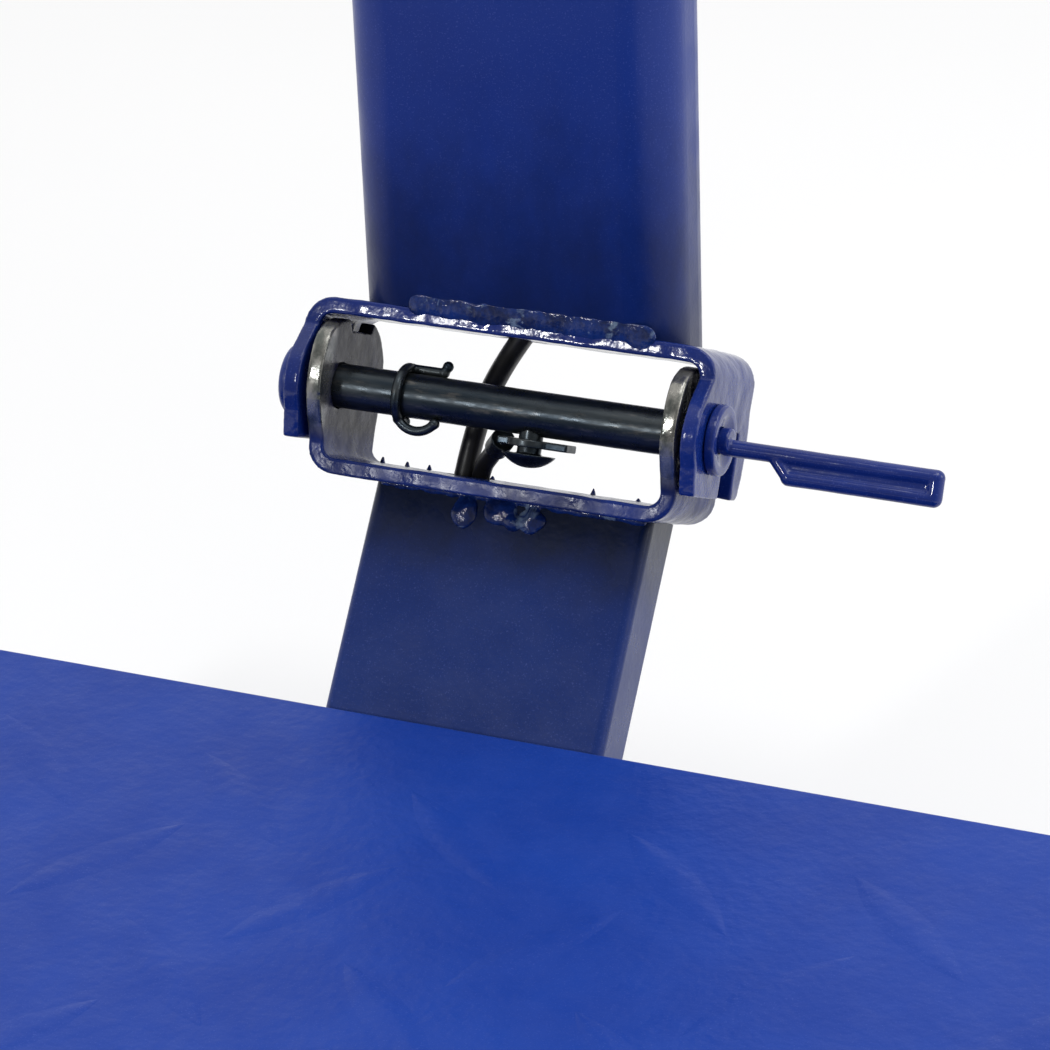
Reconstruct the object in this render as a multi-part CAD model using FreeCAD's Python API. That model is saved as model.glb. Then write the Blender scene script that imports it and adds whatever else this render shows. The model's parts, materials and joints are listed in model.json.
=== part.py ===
import FreeCAD, Part
import os
from math import sin, cos, tan, radians, pi, hypot, acos

# Folding-column platform scale.  Millimetres, +Z up, +Y to the rear, +X to the user's right.
# The origin is on the floor, under the middle of the whole object.

V = FreeCAD.Vector

# ---- driving dimensions -------------------------------------------------------------------
platform_width = 400.0          # X
platform_depth = 500.0          # Y
platform_top = 110.0            # height of the tread surface over the floor
sheet = 2.0                     # tread plate thickness
skirt = 38.0                    # height of the tread plate's folded sides

hinge_above_platform = 62.7     # shaft axis over the tread surface
hinge_behind_platform = 41.3    # shaft axis behind the platform's rear edge
hinge_lean = 27.6               # both hinge brackets lean back by this angle

column_width = 80.0             # flat oval column tube
column_depth = 30.0
column_corner = 12.0
column_wall = 2.0
column_top_rise = 500.0         # column's top over the shaft axis

plate = 3.8                     # hinge bracket plate
bend = 7.0                      # outer bend radius of the hinge brackets
web_front = -6.3                # brackets' webs, from the shaft, along their depth
web_rear = 24.9
upper_gap = 16.7                # shaft axis to the upper web's inner face
lower_gap = 17.2                # shaft axis to the lower web's inner face
lower_inside = 42.3             # half the lower bracket's inner width
bracket_play = 1.5              # gap between the two brackets' legs, each side

shaft_radius = 5.3
shaft_play = 0.08
head_radius = 8.6
head_height = 3.8
boss_radius = 8.3
boss_height = 2.4
boss_gap = 0.25                 # clamp boss to the upper bracket's leg
stub_radius, stub_play = 3.0, 0.05          # the shaft's reduced right end, inside the boss

arm_width = 70.6
arm_depth = 18.0
arm_wall = 2.5
arm_lean = 40.2                 # from the vertical
arm_front = 12.0                # arm's front face where it meets the lower web

base_low, base_top = 22.0, 47.0             # base frame, from the floor
rail = 40.0                     # base frame rails
rail_wall = 2.5
frame_rail, frame_wall = 30.0, 2.0          # platform frame rails
flange_z = 52.0                 # top of the arm's foot flange
arm_bolt_xs, arm_bolt_dys = (-43.0, 43.0), (-11.0, 11.0)
arm_bolt_hole = 3.4
cell_length, cell_width, cell_height = 150.0, 40.0, 22.0
spacer = 5.0                    # under and over the load cell
cell_bolt_ys = (12.0, 28.0)     # from the load cell's end
cell_cut_radius, cell_cut_half = 8.0, 14.0  # its double round cut-out
pad_gap = 4.0                   # platform frame to tread plate

lead_radius = 2.6               # signal cable
earth_radius = 2.2              # earth lead
lead_hole = 5.9                 # hole for the leads through each hinge web
bush_wall = 0.75
cable_clear = 3.4               # hole for the cable through the column's cap and the head's bracket
lower_hole = (-13.65, 18.9)     # its (x, depth) in the lower web
upper_hole = (-1.9, 10.2)       # and in the upper web
slot_front, slot_rear, slot_top = 9.0, 18.2, 2.2    # slot in the upper bracket's right leg
earth_x, earth_screw_radius = 7.0, 2.9
lever_end = 106.4
web_half = 1.0                  # half the thickness of the web between the lever's two bars
bolt_shank, bolt_hole = 4.0, 4.2            # the load cell's bolts
bolt_head, bolt_head_height = 6.5, 4.5
foot_radius, foot_top_radius = 19.0, 12.0
foot_pad_low, foot_pad_top = 7.0, 12.0      # heights of the pad's straight side and top
foot_stud, foot_stud_head, foot_stud_top = 5.0, 8.0, 52.0
stud_sleeve, stud_bore, stud_clear = 8.5, 5.05, 5.4
nut_across, nut_height = 17.0, 6.0
cover_pad_radius, stop_radius, stop_foot_radius = 9.0, 5.0, 8.0
stop_gap = 1.5                  # overload stop to platform frame
head_tilt = 15.0                # indicator leans back at rest

# ---- places that follow from them ---------------------------------------------------------
lean = radians(hinge_lean)
upper_outer = upper_gap + plate
lower_outer = lower_gap + plate
lower_outside = lower_inside + plate
upper_inside = lower_outside + bracket_play
upper_outside = upper_inside + plate
boss_start = upper_outside + boss_gap
boss_end = boss_start + boss_height
stub_end = boss_start + 0.95
column_front = web_front * cos(lean) + upper_outer * sin(lean)
column_rear = column_front + column_depth
total_depth = platform_depth + hinge_behind_platform + column_rear
hinge_y = total_depth / 2 - column_rear
hinge_z = platform_top + hinge_above_platform
column_mid_y = hinge_y + (column_front + column_rear) / 2
column_top = hinge_z + column_top_rise
platform_rear = hinge_y - hinge_behind_platform
platform_front = platform_rear - platform_depth
platform_mid = (platform_rear + platform_front) / 2
arm_slope = radians(arm_lean)
base_half = platform_width / 2 - 14
base_front, base_rear = platform_front + 14, platform_rear - 12
foot_x = base_half - rail / 2
foot_ys = {"front": base_front + rail / 2, "rear": base_rear - rail / 2}
cell_low = base_top + spacer
cell_top = cell_low + cell_height
cell_mid_z = (cell_low + cell_top) / 2
cell_front = platform_mid - cell_length / 2
cell_rear = platform_mid + cell_length / 2
frame_low, frame_top = cell_top + spacer, platform_top - sheet - pad_gap
cell_bolts_rear = [cell_rear - y for y in cell_bolt_ys]
cell_bolt_front = cell_front + cell_bolt_ys[0]

os.makedirs("parts", exist_ok=True)


def save(name, shape):
    """Write one node.  A list of solids becomes one compound."""
    if isinstance(shape, (list, tuple)):
        shape = Part.makeCompound(list(shape))
    elif shape.ShapeType == "Compound" and len(shape.Solids) == 1:
        shape = shape.Solids[0]
    if not shape.isValid():
        print("INVALID", name)
    shape.exportStep("parts/%s.step" % name)
    print("%-24s solids %d  volume %.0f" % (name, len(shape.Solids), shape.Volume))


def block(x0, x1, y0, y1, z0, z1):
    return Part.makeBox(x1 - x0, y1 - y0, z1 - z0, V(x0, y0, z0))


def rod(radius, start, end):
    start, end = V(*start), V(*end)
    return Part.makeCylinder(radius, (end - start).Length, start, end - start)


def ring(outer, inner, start, end):
    return rod(outer, start, end).cut(rod(inner, start, end))


def hinge_frame(shape):
    """Move a shape drawn about the shaft (x, depth, height over the shaft) to its place."""
    moved = shape.copy()
    moved.rotate(V(0, 0, 0), V(1, 0, 0), -hinge_lean)
    moved.translate(V(0, hinge_y, hinge_z))
    return moved


def hinge_point(x, w, n):
    """Where (x, depth, height) of the leaning hinge frame lies."""
    return (x, hinge_y + w * cos(lean) + n * sin(lean), hinge_z - w * sin(lean) + n * cos(lean))


def outline_face(x, steps):
    """A face in the plane x from (depth, height) points; a pair of pairs is an arc's middle and end."""
    edges, last = [], V(x, *steps[0])
    for step in steps[1:] + [steps[0]]:
        if isinstance(step[0], tuple):
            mid, end = V(x, *step[0]), V(x, *step[1])
            edges.append(Part.Arc(last, mid, end).toShape())
        else:
            end = V(x, *step)
            if (end - last).Length < 1e-6:
                continue
            edges.append(Part.LineSegment(last, end).toShape())
        last = end
    return Part.Face(Part.Wire(edges))


def leg(x0, x1, steps):
    return outline_face(x0, steps).extrude(V(x1 - x0, 0, 0))


def rounded(shape, radius, chosen):
    """Fillet the edges that chosen(edge) picks."""
    return shape.makeFillet(radius, [e for e in shape.Edges if chosen(e)])


def along(axis):
    """Pick straight edges along a coordinate axis (0, 1 or 2)."""
    def test(edge):
        a, b = edge.Vertexes[0].Point, edge.Vertexes[-1].Point
        return abs(abs((b - a)[axis]) - edge.Length) < 1e-6 and edge.Length > 0
    return test


def slab(width, depth, height, corner, centre_x, centre_y, base_z):
    """An upright rounded-rectangle bar."""
    body = block(centre_x - width / 2, centre_x + width / 2,
                 centre_y - depth / 2, centre_y + depth / 2, base_z, base_z + height)
    return rounded(body, corner, along(2))


def tube_path(name, radius, points, share=0.45):
    """A round lead along straight runs joined by tangent arcs; prints the arcs' radii.

    An arc takes up to its share of each run beside it, and twice that of a first or last run.
    """
    pts = [V(*p) for p in points]
    edges, last, radii = [], pts[0], []
    for i in range(1, len(pts) - 1):
        before, after = pts[i] - pts[i - 1], pts[i + 1] - pts[i]
        run = min(before.Length * (2 if i == 1 else 1), after.Length * (2 if i == len(pts) - 2 else 1))
        before.normalize()
        after.normalize()
        turn = acos(max(-1.0, min(1.0, before.dot(after))))
        back = share * run
        radii.append(back / tan(turn / 2))
        start, end = pts[i] - before * back, pts[i] + after * back
        chord_mid = (start + end) * 0.5
        inward = chord_mid - pts[i]
        inward.normalize()
        centre = pts[i] + inward * hypot(radii[-1], back)
        middle = centre - inward * radii[-1]
        edges += [Part.LineSegment(last, start).toShape(), Part.Arc(start, middle, end).toShape()]
        last = end
    edges.append(Part.LineSegment(last, pts[-1]).toShape())
    wire = Part.Wire(edges)
    section = Part.Wire(Part.Circle(pts[0], pts[1] - pts[0], radius).toShape())
    body = wire.makePipeShell([section], True, False)
    length = sum(e.Length for e in edges)
    print("%s: length %.1f, radii %s, volume/section*length %.4f" % (
        name, length, " ".join("%.0f" % r for r in radii), body.Volume / (pi * radius ** 2 * length)))
    return body


# ---- hinge --------------------------------------------------------------------------------
def bent_web(inner_n, outer_n, inside, outside, reach):
    """The web of a bracket with its two bends and a short straight stretch of each leg."""
    low, high = sorted((0.0, outer_n))
    up = 1 if outer_n > 0 else -1
    outer = block(-outside, outside, web_front, web_rear, low, high)
    inner = block(-inside, inside, web_front - 1, web_rear + 1, min(0, inner_n), max(0, inner_n))
    at_outer = lambda e: along(1)(e) and abs(e.CenterOfMass.z - outer_n) < 1e-6
    at_inner = lambda e: along(1)(e) and abs(e.CenterOfMass.z - inner_n) < 1e-6
    outer = rounded(outer, bend, at_outer)
    inner = rounded(inner, bend - plate, at_inner)
    low, high = sorted((up * reach, outer_n))
    return outer.cut(inner).common(block(-outside, outside, web_front, web_rear, low, high))


def make_lower_bracket():
    body = bent_web(-lower_gap, -lower_outer, lower_inside, lower_outside, lower_outer - bend - 1)
    disc_top, notch_floor = 15.8, 13.2
    steps = [(web_front, -13.6), (-9.3, -8.6), ((-12.8, 2.5), (-10.2, 11.8)),
             ((-5.4, 14.8), (0.0, disc_top)), (0.5, disc_top), (1.7, notch_floor),
             (13.6, notch_floor), (14.8, disc_top), ((21.9, 10.6), (web_rear, 2.0)),
             (web_rear, -13.6)]
    for side in (-1, 1):
        x0, x1 = sorted((side * lower_inside, side * lower_outside))
        body = body.fuse(leg(x0, x1, steps))
    body = body.cut(rod(shaft_radius + shaft_play, (-60, 0, 0), (60, 0, 0)))
    body = body.cut(rod(lead_hole, (lower_hole[0], lower_hole[1], -30), (lower_hole[0], lower_hole[1], 0)))
    return body.removeSplitter()


def make_upper_bracket():
    body = bent_web(upper_gap, upper_outer, upper_inside, upper_outside, upper_outer - bend - 1)
    top, foot = upper_outer - bend, -13.6
    front = [((-13.6, 1.0), (-11.4, -7.0)), (-9.4, foot)]
    rear = [(24.0, -12.6), (25.6, -3.0), (web_rear, 10.0), (web_rear, top)]
    plain = [(web_front, top), (-10.6, 8.4)] + front + [(22.4, foot)] + rear
    slotted = [(web_front, top), (-10.6, 8.4)] + front
    slotted += [(slot_front, foot), (slot_front, slot_top), (slot_rear, slot_top), (slot_rear, foot)]
    slotted += [(22.4, foot)] + rear
    body = body.fuse(leg(-upper_outside, -upper_inside, plain))
    body = body.fuse(leg(upper_inside, upper_outside, slotted))
    body = body.cut(rod(shaft_radius + shaft_play, (-60, 0, 0), (60, 0, 0)))
    body = body.cut(rod(lead_hole, (upper_hole[0], upper_hole[1], 0), (upper_hole[0], upper_hole[1], 30)))
    return body.removeSplitter()


def make_shaft():
    left = -upper_outside - 0.15
    body = rod(shaft_radius, (left, 0, 0), (upper_outside + 0.2, 0, 0))
    head = rod(head_radius, (left - head_height, 0, 0), (left, 0, 0))
    head = rounded(head, 1.4, lambda e: abs(e.CenterOfMass.x - (left - head_height)) < 1e-6)
    body = body.fuse(head)
    body = body.fuse(rod(stub_radius, (upper_outside, 0, 0), (stub_end, 0, 0)))
    body = body.cut(rod(earth_screw_radius, (earth_x, 0, -8), (earth_x, 0, -1.5)))
    return body.removeSplitter()


def make_lever_boss():
    """The clamp nut on the shaft's reduced end, a low round boss with a dished face."""
    body = rod(boss_radius, (boss_start, 0, 0), (boss_end, 0, 0))
    body = rounded(body, 0.6, lambda e: abs(e.CenterOfMass.x - boss_end) < 1e-6)
    body = body.cut(rod(stub_radius + stub_play, (boss_start - 1, 0, 0), (boss_end + 1, 0, 0)))
    dish = Part.makeCone(stub_radius + stub_play, 6.2, 1.0, V(boss_end - 1.0, 0, 0), V(1, 0, 0))
    return body.cut(dish)


def make_lever():
    """Neck and paddle of the clamp lever: two round bars joined by a thin web, forged in one."""
    neck_n, neck_r = -1.4, 1.95
    low_n, low_r, low_start = -6.2, 1.9, 70.2
    tip = lever_end - neck_r
    body = rod(neck_r, (boss_end + 0.05, 0, neck_n), (tip, 0, neck_n))
    body = body.fuse(rod(low_r, (low_start, 0, low_n), (tip, 0, low_n)))
    body = body.fuse(rod(low_r, (tip, 0, low_n), (tip, 0, neck_n)))
    body = body.fuse(rod(low_r * 0.9, (low_start, 0, low_n), (low_start - 4.4, 0, neck_n)))
    body = body.fuse(block(low_start - 2, tip, -web_half, web_half, low_n, neck_n))
    for x, n, r in ((tip, neck_n, neck_r), (tip, low_n, low_r), (low_start, low_n, low_r)):
        body = body.fuse(Part.makeSphere(r, V(x, 0, n)))
    collar = rod(stub_radius + stub_play, (stub_end + 0.15, 0, 0), (boss_end + 1.4, 0, 0))
    return body.fuse(collar).removeSplitter()


def bent_rod(radius, start, middle, end):
    """A round bar along the arc through three points."""
    arc = Part.Arc(V(*start), V(*middle), V(*end)).toShape()
    section = Part.Wire(Part.Circle(V(*start), arc.tangentAt(arc.FirstParameter), radius).toShape())
    return Part.Wire([arc]).makePipeShell([section], True, False)


def make_spring_clip():
    """Wire clip round the shaft: a ring round its front, a hooked top leg and a hanging bow."""
    wire, bow_x, front_w, end_x = 1.15, -25.6, -2.8, -16.4
    reach = shaft_radius + wire + 0.02
    body = Part.makeTorus(reach, wire, V(bow_x, 0, 0), V(1, 0, 0))
    body = body.cut(block(bow_x - 5, bow_x + 5, 1.5, 12, -12, 12))
    low = -(reach ** 2 - front_w ** 2) ** 0.5
    body = body.fuse(bent_rod(wire, (bow_x, front_w, low), ((bow_x + end_x) / 2, front_w, low - 2.3),
                              (end_x, front_w, low)))
    high = (reach ** 2 - 1.5 ** 2) ** 0.5
    body = body.fuse(rod(wire, (bow_x, 1.5, high), (end_x - 1.0, 1.5, high)))
    body = body.fuse(rod(wire, (end_x - 1.0, 1.5, high), (end_x - 0.2, 1.5, high + 1.6)))
    for place in ((bow_x, front_w, low), (end_x, front_w, low), (bow_x, 1.5, high), (bow_x, 1.5, -high),
                  (end_x - 1.0, 1.5, high), (end_x - 0.2, 1.5, high + 1.6)):
        body = body.fuse(Part.makeSphere(wire + 0.18, V(*place)))
    return body.cut(rod(shaft_radius + 0.01, (-40, 0, 0), (0, 0, 0)))


def make_weld(x0, x1, w, n, radius, pitch=4.2):
    """A run of overlapping weld ripples along X, flattened on the side of the joint."""
    beads, count = [], int((x1 - x0) / pitch)
    for i in range(count + 1):
        swell = radius * (1 + 0.12 * sin(2.3 * i))
        beads.append(Part.makeSphere(swell, V(x0 + i * pitch, w, n + 0.25 * sin(1.7 * i))))
    core = rod(radius * 0.86, (x0, w, n), (x0 + count * pitch, w, n))
    return core.multiFuse(beads)


save("hinge_lower_bracket", hinge_frame(make_lower_bracket()))
save("hinge_upper_bracket", hinge_frame(make_upper_bracket()))
save("hinge_shaft", hinge_frame(make_shaft()))
save("lever_boss", hinge_frame(make_lever_boss()))
save("lock_lever", hinge_frame(make_lever()))
save("spring_clip", hinge_frame(make_spring_clip()))


def make_bush(hole, web_inner, web_outer):
    """A rubber bush, flush in a web's lead hole."""
    x, w = hole
    return ring(lead_hole, lead_hole - bush_wall, (x, w, web_inner), (x, w, web_outer))


save("lower_bush", hinge_frame(make_bush(lower_hole, -lower_gap, -lower_outer)))
save("upper_bush", hinge_frame(make_bush(upper_hole, upper_gap, upper_outer)))

earth_head = -9.6
screw = rod(earth_screw_radius - 0.02, (earth_x, 0, -1.6), (earth_x, 0, earth_head))
screw_head = Part.makeSphere(8.2, V(earth_x, 0, earth_head + 5.0))
screw_head = screw_head.common(rod(6.4, (earth_x, 0, earth_head - 6), (earth_x, 0, earth_head)))
screw_head = screw_head.cut(block(earth_x - 8, earth_x + 8, -0.6, 0.6, earth_head - 6, earth_head - 2.2))
save("earth_screw", hinge_frame(screw.fuse(screw_head).removeSplitter()))

lug_top, lug_low = -6.2, -8.0
lug = rod(5.2, (earth_x, 0, lug_low), (earth_x, 0, lug_top))
lug = lug.fuse(block(earth_x, earth_x + 10.0, -2.6, 4.4, lug_low, lug_top))
lug = lug.fuse(block(earth_x - 8.5, earth_x, 0.2, 4.8, lug_low, lug_top))
lug = lug.cut(rod(earth_screw_radius, (earth_x, 0, -12), (earth_x, 0, 0)))
crimp = ((earth_x - 8.4, 4.5, -7.0), (earth_x - 11.56, 8.94, -9.5))
lug = lug.fuse(rod(earth_radius + 0.7, *crimp)).removeSplitter()
save("earth_lug", hinge_frame(lug))

# ---- leads --------------------------------------------------------------------------------
arm_axis_w = arm_front + arm_depth / 2 / cos(arm_slope - lean)


def arm_point(x, down, across):
    """A point inside the arm: down along it from the lower web, across from its mid plane."""
    base = hinge_point(x, arm_axis_w, -lower_outer)
    return (x, base[1] - down * sin(arm_slope) + across * cos(arm_slope),
            base[2] - down * cos(arm_slope) - across * sin(arm_slope))


def beyond(points, distance):
    """The point that far past the last one, straight on."""
    a, b = V(*points[-2]), V(*points[-1])
    run = b - a
    run.normalize()
    return tuple(b + run * distance)


signal_points = [(-15.7, 19.7, -lower_gap), (-15.0, 19.8, -7.5), (-10.0, 15.0, 7.0),
                 (-3.0, 10.8, upper_gap)]
cable_hinge_points = [hinge_point(*p) for p in signal_points]
save("cable_hinge", tube_path("cable_hinge", lead_radius, cable_hinge_points))

arm_exit = 106.0                           # how far down the arm the leads leave through its front
cable_arm_points = [
    cable_hinge_points[0], beyond(cable_hinge_points[1::-1], 11.0),
    arm_point(-11.0, 52, -0.6), arm_point(-3.0, arm_exit, 0.6),
    (0.0, cell_rear + 75, cell_mid_z - 4.0), (0.0, cell_rear + 28, cell_mid_z), (0.0, cell_rear, cell_mid_z)]
save("cable_arm", tube_path("cable_arm", lead_radius, cable_arm_points))

earth_points = [hinge_point(*p) for p in (crimp[1], beyond(crimp, 12.2), (-11.2, 18.6, -24.0))]
earth_points += [arm_point(-9.0, 26, -0.4), arm_point(-4.0, 52, -0.6), arm_point(5.0, arm_exit, 0.6),
                 (8.0, cell_rear + 75, cell_mid_z - 4.0), (8.0, cell_rear + 28, cell_mid_z),
                 (8.0, cell_rear, cell_mid_z)]
save("earth_lead", tube_path("earth_lead", earth_radius, earth_points))

column_cable = (-20.5, column_mid_y - 8.0)  # (x, y) where the cable leaves the column's cap
cable_column_points = [
    cable_hinge_points[-1], beyond(cable_hinge_points, 13.0),
    (6.0, column_mid_y + 1.0, hinge_z + 62), (8.0, column_mid_y - 1.0, hinge_z + 120),
    (-2.0, column_mid_y + 1.5, hinge_z + 200), (4.0, column_mid_y - 1.5, hinge_z + 290),
    (-8.0, column_mid_y + 1.0, hinge_z + 370), (-19.0, column_mid_y - 5.0, hinge_z + 430),
    (column_cable[0], column_cable[1], column_top - 26), (column_cable[0], column_cable[1], column_top + 8)]
save("cable_column", tube_path("cable_column", lead_radius, cable_column_points))

# ---- column -------------------------------------------------------------------------------
def make_column():
    base_z = hinge_z - 30
    height = column_top - base_z
    outer = slab(column_width, column_depth, height, column_corner, 0, column_mid_y, base_z)
    inner = slab(column_width - 2 * column_wall, column_depth - 2 * column_wall, height,
                 column_corner - column_wall, 0, column_mid_y, base_z)
    waste = hinge_frame(block(-60, 60, -60, 80, -90, upper_outer))
    return outer.cut(inner).cut(waste)


def make_column_cap():
    plug = slab(column_width - 2 * column_wall - 0.2, column_depth - 2 * column_wall - 0.2, 10,
                column_corner - column_wall - 0.1, 0, column_mid_y, column_top - 10)
    lid = slab(column_width, column_depth, 3, column_corner, 0, column_mid_y, column_top)
    x, y = column_cable
    hole = rod(cable_clear, (x, y, column_top - 20), (x, y, column_top + 10))
    return plug.fuse(lid).cut(hole).removeSplitter()


save("column_tube", make_column())
save("column_cap", make_column_cap())
upper_bead = make_weld(-24.5, 32.0, web_front + 0.2, upper_outer + 0.4, 1.9)
upper_bead = upper_bead.cut(block(-60, 60, web_front, 60, 0, upper_outer))
upper_weld = hinge_frame(upper_bead).cut(slab(column_width, column_depth, 90, column_corner, 0,
                                              column_mid_y, hinge_z - 30))
save("upper_weld", upper_weld)


def make_arm():
    """The leaning arm with its foot flange; cut square to the hinge at the top."""
    length = 190.0
    outer = block(-arm_width / 2, arm_width / 2, -arm_depth / 2, arm_depth / 2, -length, 30)
    outer = rounded(outer, 2.5, along(2))
    inner = block(-arm_width / 2 + arm_wall, arm_width / 2 - arm_wall, -arm_depth / 2 + arm_wall,
                  arm_depth / 2 - arm_wall, -length, 30)
    origin = arm_point(0, 0, 0)
    profile = outer.cut(inner)
    profile.rotate(V(0, 0, 0), V(1, 0, 0), -arm_lean)
    profile.translate(V(*origin))
    above = hinge_frame(block(-60, 60, -60, 90, -lower_outer, 60))
    below = block(-200, 200, -400, 400, -60, flange_z)
    foot = block(-52, 52, arm_foot_y - 19.5, arm_foot_y + 19.5, base_top, flange_z)
    foot = rounded(foot, 5, along(2))
    for x in arm_bolt_xs:
        for dy in arm_bolt_dys:
            foot = foot.cut(rod(arm_bolt_hole, (x, arm_foot_y + dy, 0), (x, arm_foot_y + dy, 90)))
    window = slab(arm_width - 12, 14, 30, 2, 0, arm_foot_y, base_top - 10)
    lead_y, lead_z = arm_point(0, arm_exit, 0)[1:]
    exit_gap = block(-9, 11, lead_y - 22, lead_y - 1, flange_z + 3, lead_z + 10)
    return profile.cut(above).cut(below).cut(exit_gap).fuse(foot.cut(window)).removeSplitter()


arm_foot_down = (arm_point(0, 0, 0)[2] - flange_z) / cos(arm_slope)
arm_foot_y = arm_point(0, arm_foot_down, 0)[1]
save("column_arm", make_arm())
lower_bead = make_weld(-31.0, 31.0, arm_front - 1.0, -lower_outer - 1.1, 2.3, 5.1)
lower_bead = lower_bead.cut(block(-60, 60, -60, 60, -lower_outer, 10))
arm_solid = block(-arm_width / 2, arm_width / 2, -arm_depth / 2, arm_depth / 2, -60, 60)
arm_solid.rotate(V(0, 0, 0), V(1, 0, 0), -arm_lean)
arm_solid.translate(V(*arm_point(0, 0, 0)))
save("lower_weld", hinge_frame(lower_bead).cut(arm_solid))


# ---- base and platform --------------------------------------------------------------------
def bolt(x, y, z_under_head, shank, length, head_r, head_h):
    """A bolt standing down from under its head."""
    return rod(shank, (x, y, z_under_head - length), (x, y, z_under_head)).fuse(
        rod(head_r, (x, y, z_under_head), (x, y, z_under_head + head_h))).removeSplitter()


def box_tube(x0, x1, y0, y1, z0, z1, wall):
    """A square-cornered tube with welded end plates."""
    outer = block(x0, x1, y0, y1, z0, z1)
    return outer.cut(block(x0 + wall, x1 - wall, y0 + wall, y1 - wall, z0 + wall, z1 - wall))


def make_base_frame():
    body = None
    for x0 in (-base_half, base_half - rail):
        piece = box_tube(x0, x0 + rail, base_front, base_rear, base_low, base_top, rail_wall)
        body = piece if body is None else body.fuse(piece)
    for y0 in (base_front, base_rear - rail, cell_rear - rail):
        body = body.fuse(box_tube(-base_half + rail, base_half - rail, y0, y0 + rail,
                                  base_low, base_top, rail_wall))
    for sx in (-1, 1):
        for y in foot_ys.values():
            body = body.cut(rod(stud_clear, (sx * foot_x, y, 0), (sx * foot_x, y, 60)))
            body = body.fuse(ring(stud_sleeve, stud_bore, (sx * foot_x, y, base_low + rail_wall),
                                  (sx * foot_x, y, base_top - rail_wall)))
    for y in cell_bolts_rear:
        body = body.cut(rod(bolt_hole, (0, y, 0), (0, y, 60)))
    for x in arm_bolt_xs:
        for dy in arm_bolt_dys:
            body = body.cut(rod(arm_bolt_hole, (x, arm_foot_y + dy, 0), (x, arm_foot_y + dy, 60)))
    window = slab(arm_width - 12, 14, 6, 2, 0, arm_foot_y, base_top - 4)
    return body.cut(window).removeSplitter()


def make_platform_frame():
    """Spider of two side rails, two end rails and the bar that sits on the load cell."""
    half, front, rear = base_half - 6, platform_front + 20, platform_rear - 34
    inner = half - frame_rail
    body = box_tube(-half, -inner, front, rear, frame_low, frame_top, frame_wall)
    body = body.fuse(box_tube(inner, half, front, rear, frame_low, frame_top, frame_wall))
    for y0 in (front, rear - frame_rail, cell_front):
        body = body.fuse(box_tube(-inner, inner, y0, y0 + frame_rail, frame_low, frame_top, frame_wall))
    hole = rod(bolt_hole, (0, cell_bolt_front, 0), (0, cell_bolt_front, 120))
    return body.cut(hole).removeSplitter()


def make_load_cell():
    """An aluminium beam with a double round cut-out and its bolt holes."""
    body = block(-cell_width / 2, cell_width / 2, cell_front, cell_rear, cell_low, cell_top)
    body = rounded(body, 1.0, along(1))
    for y in (platform_mid - cell_cut_half, platform_mid + cell_cut_half):
        body = body.cut(rod(cell_cut_radius, (-30, y, cell_mid_z), (30, y, cell_mid_z)))
    body = body.cut(block(-30, 30, platform_mid - cell_cut_half, platform_mid + cell_cut_half,
                          cell_mid_z - 2.5, cell_mid_z + 2.5))
    for y in cell_bolts_rear + [cell_bolt_front]:
        body = body.cut(rod(bolt_hole, (0, y, 0), (0, y, 120)))
    return body.removeSplitter()


def make_cover():
    """The tread plate with folded sides, open below, with a gap at the rear for the arm."""
    half = platform_width / 2
    low = platform_top - skirt
    outer = block(-half, half, platform_front, platform_rear, low, platform_top)
    outer = rounded(outer, 3.0, along(2))
    top_edge = lambda e: abs(e.CenterOfMass.z - platform_top) < 1e-6
    outer = rounded(outer, 1.5, top_edge)
    inner = block(-half + sheet, half - sheet, platform_front + sheet, platform_rear - sheet,
                  low - 1, platform_top - sheet)
    gap = block(-arm_width / 2 - 5, arm_width / 2 + 5, platform_rear - 6, platform_rear + 6,
                low - 1, platform_top - 8)
    return outer.cut(inner).cut(gap).removeSplitter()


save("base_frame", make_base_frame())
save("platform_frame", make_platform_frame())
save("load_cell", make_load_cell())
save("platform_cover", make_cover())

lower_spacer = block(-20, 20, cell_rear - 38, cell_rear - 2, base_top, cell_low)
for y in cell_bolts_rear:
    lower_spacer = lower_spacer.cut(rod(bolt_hole, (0, y, 0), (0, y, 120)))
save("cell_spacer_lower", lower_spacer)
upper_spacer = block(-20, 20, cell_front + 1, cell_front + 29, cell_top, frame_low)
upper_spacer = upper_spacer.cut(rod(bolt_hole, (0, cell_bolt_front, 0), (0, cell_bolt_front, 120)))
save("cell_spacer_upper", upper_spacer)
cell_bolts = [bolt(0, y, cell_top, bolt_shank, cell_top - base_low - 2, bolt_head, bolt_head_height)
              for y in cell_bolts_rear]
cell_bolts.append(bolt(0, cell_bolt_front, frame_top, bolt_shank, frame_top - cell_low - 3, bolt_head, 3.0))
save("cell_bolts", cell_bolts)

pad_x = base_half - 6 - frame_rail / 2
pad_ys = (platform_front + 35, platform_rear - 49)
save("cover_pads", [rod(cover_pad_radius, (sx * pad_x, y, frame_top), (sx * pad_x, y, platform_top - sheet))
                    for sx in (-1, 1) for y in pad_ys])
stop_x = pad_x - 6
stop_ys = (platform_front + 90, platform_rear - 120)
stops = []
for sx in (-1, 1):
    for y in stop_ys:
        stop = rod(stop_radius, (sx * stop_x, y, base_top), (sx * stop_x, y, frame_low - stop_gap))
        stop_foot = rod(stop_foot_radius, (sx * stop_x, y, base_top), (sx * stop_x, y, base_top + 6))
        stops.append(stop.fuse(stop_foot))
save("overload_stops", stops)
save("arm_bolts", [bolt(x, arm_foot_y + dy, flange_z, 3.2, 34, 5.5, 4.0)
                   for x in arm_bolt_xs for dy in arm_bolt_dys])

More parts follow.
